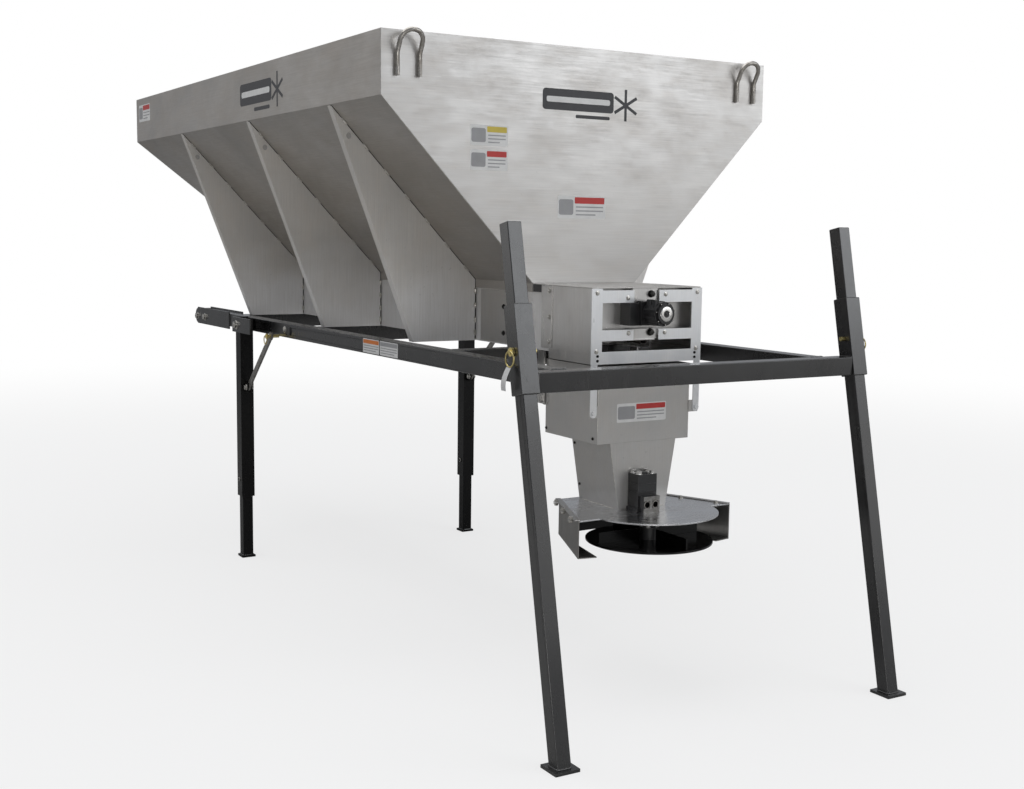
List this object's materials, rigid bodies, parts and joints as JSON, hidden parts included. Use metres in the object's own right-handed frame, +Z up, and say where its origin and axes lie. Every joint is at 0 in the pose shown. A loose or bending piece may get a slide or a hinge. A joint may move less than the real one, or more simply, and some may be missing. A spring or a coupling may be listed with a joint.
{
  "type": "slide-in hopper salt spreader",
  "caption": "V-box hopper spreader for a truck bed: sheet-steel hopper, drag-chain trough, spinner chute and folding leg stand.",
  "frame": {"origin": "on the ground under the middle of the object's box", "axes": "+Z up, +Y towards the truck's cab, +X to the right seen from behind"},
  "size_m": [1.33, 3.18, 1.804],
  "materials": {
    "stainless": "mill-brushed stainless sheet",
    "bright_bar": "drawn stainless bar",
    "black_powder_coat": "semi-gloss black powder coat",
    "motor_black": "satin black paint over castings",
    "dark_steel": "oiled steel",
    "yellow_zinc": "yellow zinc plating",
    "white_plastic": "satin plate and tag"
  },
  "bodies": {
    "spreader": {"hopper_side_left": "stainless", "hopper_side_right": "stainless", "hopper_rear_wall": "stainless", "hopper_front_wall": "stainless", "gussets_left": "stainless", "gussets_right": "stainless", "inverted_vee": "stainless", "cross_braces": "stainless", "lifting_loops": "bright_bar", "trough_side_left": "stainless", "trough_side_right": "stainless", "extension_skirts": "stainless", "rear_frame": "stainless", "gearbox_plate": "stainless", "trough_covers": "stainless", "conveyor_floor": "stainless", "shaft_bearings": "dark_steel", "chain_strands": "dark_steel", "chain_slats": "dark_steel", "gearbox": "motor_black", "roller_chain": "dark_steel", "conveyor_motor": "motor_black", "chute_straps": "stainless", "chute_hinge": "stainless", "frame_rails": "black_powder_coat", "cross_tubes": "black_powder_coat", "leg_sleeves": "black_powder_coat", "front_leg_brackets": "black_powder_coat", "roller_brackets": "black_powder_coat", "body_bolts": "dark_steel", "frame_bolts": "dark_steel"},
    "feed_gate": {"feed_gate": "stainless"},
    "conveyor_drive": {"drive_shaft": "dark_steel", "drive_sprockets": "dark_steel"},
    "conveyor_idler": {"idler_shaft": "dark_steel", "idler_sprockets": "dark_steel"},
    "gearbox_output": {"gearbox_sprocket": "dark_steel"},
    "chute": {"chute_box": "stainless", "chute_taper": "stainless", "chute_deck": "stainless", "deflector_left": "stainless", "deflector_right": "stainless", "spinner_motor": "motor_black"},
    "spinner": {"spinner_shaft": "dark_steel", "spinner_disc": "black_powder_coat", "spinner_fins": "black_powder_coat"},
    "rear_leg_left": {"rear_leg_left": "black_powder_coat"},
    "hitch_pin_left": {"hitch_pin_left": "yellow_zinc"},
    "front_leg_left": {"front_leg_left": "black_powder_coat"},
    "front_foot_left": {"front_foot_left": "black_powder_coat"},
    "brace_left": {"brace_left": "black_powder_coat"},
    "brace_pin_left": {"brace_pin_left": "yellow_zinc"},
    "front_roller_left": {"front_roller_left": "dark_steel"},
    "rear_leg_right": {"rear_leg_right": "black_powder_coat"},
    "hitch_pin_right": {"hitch_pin_right": "yellow_zinc"},
    "front_leg_right": {"front_leg_right": "black_powder_coat"},
    "front_foot_right": {"front_foot_right": "black_powder_coat"},
    "brace_right": {"brace_right": "black_powder_coat"},
    "brace_pin_right": {"brace_pin_right": "yellow_zinc"},
    "front_roller_right": {"front_roller_right": "dark_steel"}
  },
  "joints": [
    {"name": "feed_gate_slide", "type": "slide", "parent": "spreader", "child": "feed_gate", "axis": [0, 0, 1], "range_m": [0, 0.045]},
    {"name": "conveyor_drive_spin", "type": "hinge", "parent": "spreader", "child": "conveyor_drive", "pos_m": [0, -0.9, 1.007], "axis": [1, 0, 0], "continuous": true},
    {"name": "conveyor_idler_spin", "type": "hinge", "parent": "spreader", "child": "conveyor_idler", "pos_m": [0, 1.4, 1.007], "axis": [1, 0, 0], "continuous": true},
    {"name": "gearbox_output_spin", "type": "hinge", "parent": "spreader", "child": "gearbox_output", "pos_m": [0, -1.044, 1.051], "axis": [1, 0, 0], "continuous": true},
    {"name": "chute_swing", "type": "hinge", "parent": "spreader", "child": "chute", "pos_m": [0, -0.842, 0.79], "axis": [1, 0, 0], "range_deg": [0, 75]},
    {"name": "spinner_spin", "type": "hinge", "parent": "chute", "child": "spinner", "pos_m": [0, -1.155, 0.418], "axis": [0, 0, 1], "continuous": true},
    {"name": "rear_leg_left_slide", "type": "slide", "parent": "spreader", "child": "rear_leg_left", "axis": [0, -0.2014, -0.9795], "range_m": [0, 0.1]},
    {"name": "hitch_pin_left_pull", "type": "slide", "parent": "spreader", "child": "hitch_pin_left", "axis": [-1, 0, 0], "range_m": [0, 0.06]},
    {"name": "front_leg_left_fold", "type": "hinge", "parent": "spreader", "child": "front_leg_left", "pos_m": [-0.486, 0.793, 0.905], "axis": [1, 0, 0], "range_deg": [-90, 0]},
    {"name": "front_foot_left_slide", "type": "slide", "parent": "front_leg_left", "child": "front_foot_left", "axis": [0, 0, -1], "range_m": [0, 0.1]},
    {"name": "brace_left_fold", "type": "hinge", "parent": "front_leg_left", "child": "brace_left", "pos_m": [-0.486, 0.752, 0.668], "axis": [1, 0, 0], "range_deg": [0, 120]},
    {"name": "brace_pin_left_pull", "type": "slide", "parent": "brace_left", "child": "brace_pin_left", "axis": [-1, 0, 0], "range_m": [0, 0.04]},
    {"name": "front_roller_left_spin", "type": "hinge", "parent": "spreader", "child": "front_roller_left", "pos_m": [-0.4296, 1.45, 0.903], "axis": [1, 0, 0], "continuous": true},
    {"name": "rear_leg_right_slide", "type": "slide", "parent": "spreader", "child": "rear_leg_right", "axis": [0, -0.2014, -0.9795], "range_m": [0, 0.1]},
    {"name": "hitch_pin_right_pull", "type": "slide", "parent": "spreader", "child": "hitch_pin_right", "axis": [1, 0, 0], "range_m": [0, 0.06]},
    {"name": "front_leg_right_fold", "type": "hinge", "parent": "spreader", "child": "front_leg_right", "pos_m": [0.486, 0.793, 0.905], "axis": [1, 0, 0], "range_deg": [-90, 0]},
    {"name": "front_foot_right_slide", "type": "slide", "parent": "front_leg_right", "child": "front_foot_right", "axis": [0, 0, -1], "range_m": [0, 0.1]},
    {"name": "brace_right_fold", "type": "hinge", "parent": "front_leg_right", "child": "brace_right", "pos_m": [0.486, 0.752, 0.668], "axis": [1, 0, 0], "range_deg": [0, 120]},
    {"name": "brace_pin_right_pull", "type": "slide", "parent": "brace_right", "child": "brace_pin_right", "axis": [1, 0, 0], "range_m": [0, 0.04]},
    {"name": "front_roller_right_spin", "type": "hinge", "parent": "spreader", "child": "front_roller_right", "pos_m": [0.4296, 1.45, 0.903], "axis": [1, 0, 0], "continuous": true}
  ],
  "couplings": [
    {"joint": "conveyor_idler_spin", "follows": "conveyor_drive_spin", "ratio": 1},
    {"joint": "gearbox_output_spin", "follows": "conveyor_drive_spin", "ratio": 1}
  ]
}
